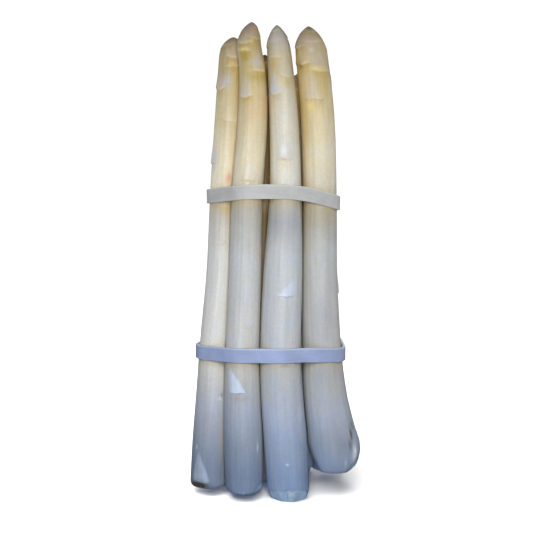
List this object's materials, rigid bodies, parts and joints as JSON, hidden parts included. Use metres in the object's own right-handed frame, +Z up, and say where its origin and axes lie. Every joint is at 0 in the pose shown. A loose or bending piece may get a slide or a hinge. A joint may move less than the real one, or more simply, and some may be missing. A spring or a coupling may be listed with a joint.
{
  "type": "bundle of white asparagus",
  "caption": "Bundle of white asparagus spears with pointed, scaled tips, held upright on their cut ends by two wide rubber bands.",
  "frame": {"origin": "on the floor under the middle of the bundle's bounding box", "axes": "+Z up along the spears, -Y to the front, where four spears stand side by side, +X to the right"},
  "size_m": [0.0795, 0.057, 0.2196],
  "materials": {
    "asparagus": "waxy, slightly translucent",
    "band_lower": "smooth matt",
    "band_upper": "smooth matt"
  },
  "bodies": {
    "root": {"spear_front_left": "asparagus", "spear_front_mid_left": "asparagus", "spear_front_mid_right": "asparagus", "spear_front_right": "asparagus", "spear_second_left": "asparagus", "spear_second_right": "asparagus", "spear_back_right": "asparagus", "spear_back_left": "asparagus", "spear_back_mid_left": "asparagus", "spear_back_mid_right": "asparagus", "band_lower": "band_lower", "band_upper": "band_upper"}
  },
  "joints": []
}
